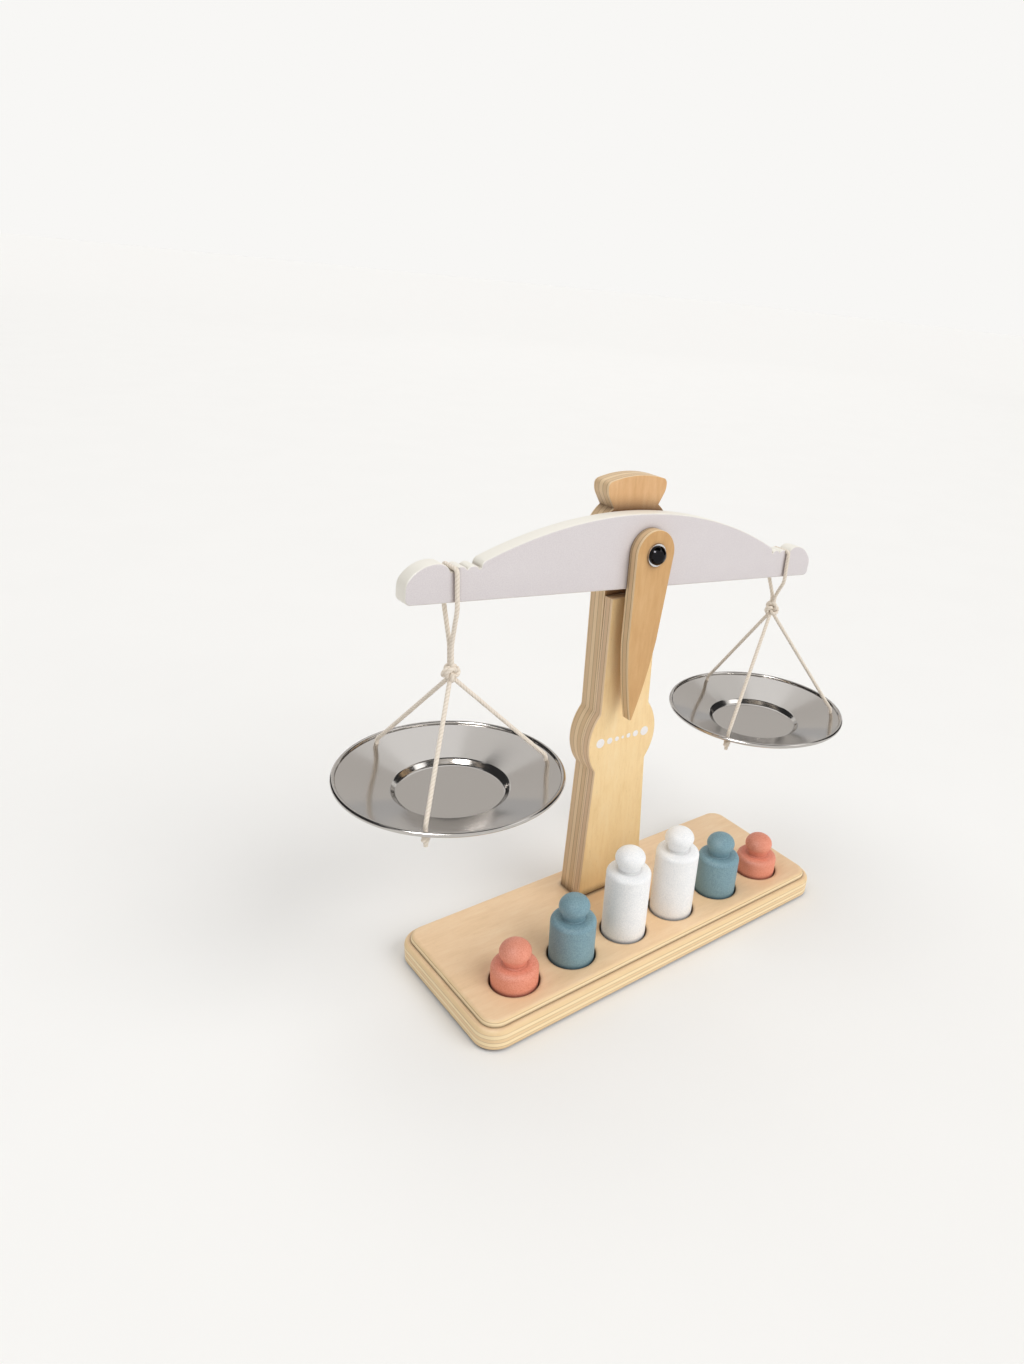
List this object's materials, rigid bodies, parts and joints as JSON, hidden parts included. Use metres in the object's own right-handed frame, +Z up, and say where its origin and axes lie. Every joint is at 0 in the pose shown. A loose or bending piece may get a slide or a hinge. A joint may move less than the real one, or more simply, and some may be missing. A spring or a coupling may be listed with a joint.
{
  "type": "wooden balance scale toy",
  "caption": "Children's equal-arm wooden balance: moulded base with turned weights in sockets, slim upright, white arched beam with pointer, and steel pans on cotton cords.",
  "frame": {"origin": "middle of the base board's underside, on the table", "axes": "+X along the beam to the viewer's right, +Y to the back where the upright stands, +Z up"},
  "size_m": [0.3351, 0.1182, 0.2665],
  "materials": {
    "natural_plywood": "satin clear varnish on birch plywood",
    "white_paint": "satin white paint on wood",
    "coral_paint": "matte coral paint on wood",
    "blue_green_paint": "matte blue-green paint on wood",
    "polished_steel": "polished stainless steel",
    "zinc_steel": "zinc plated",
    "nylon": "natural nylon",
    "cotton_cord": "twisted natural cotton"
  },
  "bodies": {
    "stand": {"base_board": "natural_plywood", "upright_back": "natural_plywood", "upright_front": "natural_plywood", "base_screws": "zinc_steel", "pivot_bolt": "zinc_steel", "rear_washer": "zinc_steel", "pivot_spacer": "nylon", "front_washer": "polished_steel", "cap_nut": "polished_steel"},
    "beam_arm": {"beam": "white_paint", "pointer": "natural_plywood"},
    "left_hanger": {"left_cord_loop": "cotton_cord"},
    "left_load": {"left_knot": "cotton_cord", "left_cord_inner": "cotton_cord", "left_cord_rear": "cotton_cord", "left_cord_front": "cotton_cord", "left_pan": "polished_steel", "left_end_knots": "cotton_cord"},
    "right_hanger": {"right_cord_loop": "cotton_cord"},
    "right_load": {"right_knot": "cotton_cord", "right_cord_outer": "cotton_cord", "right_cord_rear": "cotton_cord", "right_cord_inner": "cotton_cord", "right_pan": "polished_steel", "right_end_knots": "cotton_cord"},
    "small_left": {"weight_small_left": "coral_paint"},
    "medium_left": {"weight_medium_left": "blue_green_paint"},
    "tall_left": {"weight_tall_left": "white_paint"},
    "tall_right": {"weight_tall_right": "white_paint"},
    "medium_right": {"weight_medium_right": "blue_green_paint"},
    "small_right": {"weight_small_right": "coral_paint"}
  },
  "joints": [
    {"name": "beam_swing", "type": "hinge", "parent": "stand", "child": "beam_arm", "pos_m": [0, 0.0134, 0.2305], "axis": [0, 1, 0], "range_deg": [-20, 12]},
    {"name": "left_hang", "type": "hinge", "parent": "beam_arm", "child": "left_hanger", "pos_m": [-0.1115, 0.0134, 0.2345], "axis": [0, 1, 0], "range_deg": [-12, 20]},
    {"name": "right_hang", "type": "hinge", "parent": "beam_arm", "child": "right_hanger", "pos_m": [0.111, 0.0134, 0.2189], "axis": [0, 1, 0], "range_deg": [-12, 20]},
    {"name": "left_sway", "type": "hinge", "parent": "left_hanger", "child": "left_load", "pos_m": [-0.1115, 0.0134, 0.1889], "axis": [1, 0, 0], "range_deg": [-12, 12]},
    {"name": "right_sway", "type": "hinge", "parent": "right_hanger", "child": "right_load", "pos_m": [0.111, 0.0134, 0.1871], "axis": [1, 0, 0], "range_deg": [-12, 12]},
    {"name": "lift_small_left", "type": "slide", "parent": "stand", "child": "small_left", "axis": [0, 0, 1], "range_m": [0, 0.02]},
    {"name": "lift_medium_left", "type": "slide", "parent": "stand", "child": "medium_left", "axis": [0, 0, 1], "range_m": [0, 0.02]},
    {"name": "lift_tall_left", "type": "slide", "parent": "stand", "child": "tall_left", "axis": [0, 0, 1], "range_m": [0, 0.02]},
    {"name": "lift_tall_right", "type": "slide", "parent": "stand", "child": "tall_right", "axis": [0, 0, 1], "range_m": [0, 0.02]},
    {"name": "lift_medium_right", "type": "slide", "parent": "stand", "child": "medium_right", "axis": [0, 0, 1], "range_m": [0, 0.02]},
    {"name": "lift_small_right", "type": "slide", "parent": "stand", "child": "small_right", "axis": [0, 0, 1], "range_m": [0, 0.02]}
  ],
  "couplings": [
    {"joint": "left_hang", "follows": "beam_swing", "ratio": -1},
    {"joint": "right_hang", "follows": "beam_swing", "ratio": -1}
  ]
}
